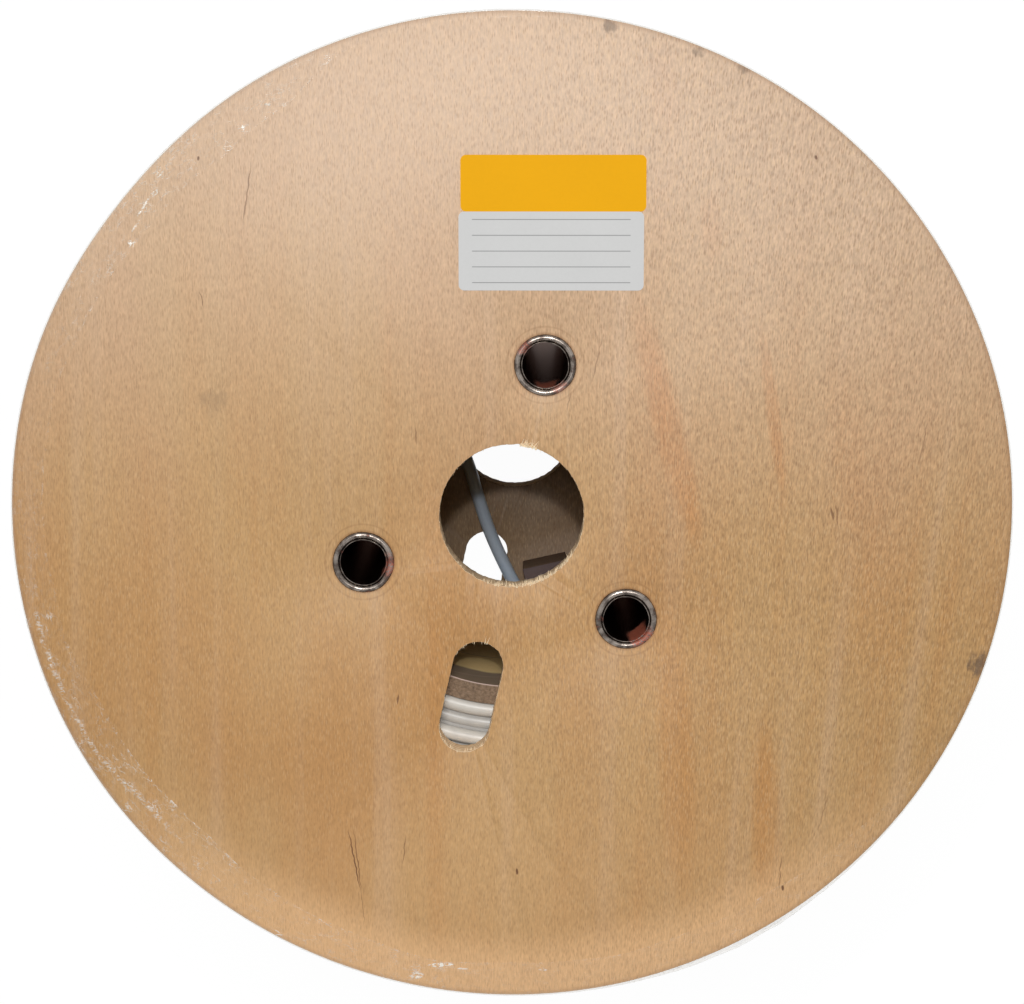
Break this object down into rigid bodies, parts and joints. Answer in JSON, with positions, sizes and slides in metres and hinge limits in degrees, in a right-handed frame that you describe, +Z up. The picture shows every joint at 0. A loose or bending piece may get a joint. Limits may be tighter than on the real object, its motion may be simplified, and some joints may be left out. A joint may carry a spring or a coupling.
{
  "type": "cable drum",
  "caption": "Plywood drum wound with white coaxial cable on a cardboard barrel, held by rolled steel tie tubes and wrapped round its rims in clear stretch film.",
  "frame": {"origin": "on the floor under the middle of the drum, which stands on its rear end", "axes": "+Z up along the arbor axis, with the labelled flange on top; +Y towards the labels and +X to the right of someone who reads that flange with the labels above the hole"},
  "size_m": [0.4507, 0.4508, 0.2733],
  "materials": {
    "plywood": "raw rotary-cut plywood, sharp sawn edges",
    "cardboard_barrel": "plain wound cardboard",
    "cable_sheath": "smooth white cable sheath",
    "clear_film": "clear stretch film with wrinkles",
    "label_paper_white": "smooth self-adhesive paper",
    "label_paper_yellow": "coated self-adhesive paper",
    "tube_steel": "bare steel tube with slight rust on the rolled rims"
  },
  "bodies": {
    "root": {"front_flange": "plywood", "rear_flange": "plywood", "barrel": "cardboard_barrel", "barrel_tongue": "cardboard_barrel", "cable_winding": "cable_sheath", "cable_tail": "cable_sheath", "stretch_film": "clear_film", "label_white": "label_paper_white", "label_yellow": "label_paper_yellow", "tie_tube_1": "tube_steel", "tie_tube_2": "tube_steel", "tie_tube_3": "tube_steel"}
  },
  "joints": []
}
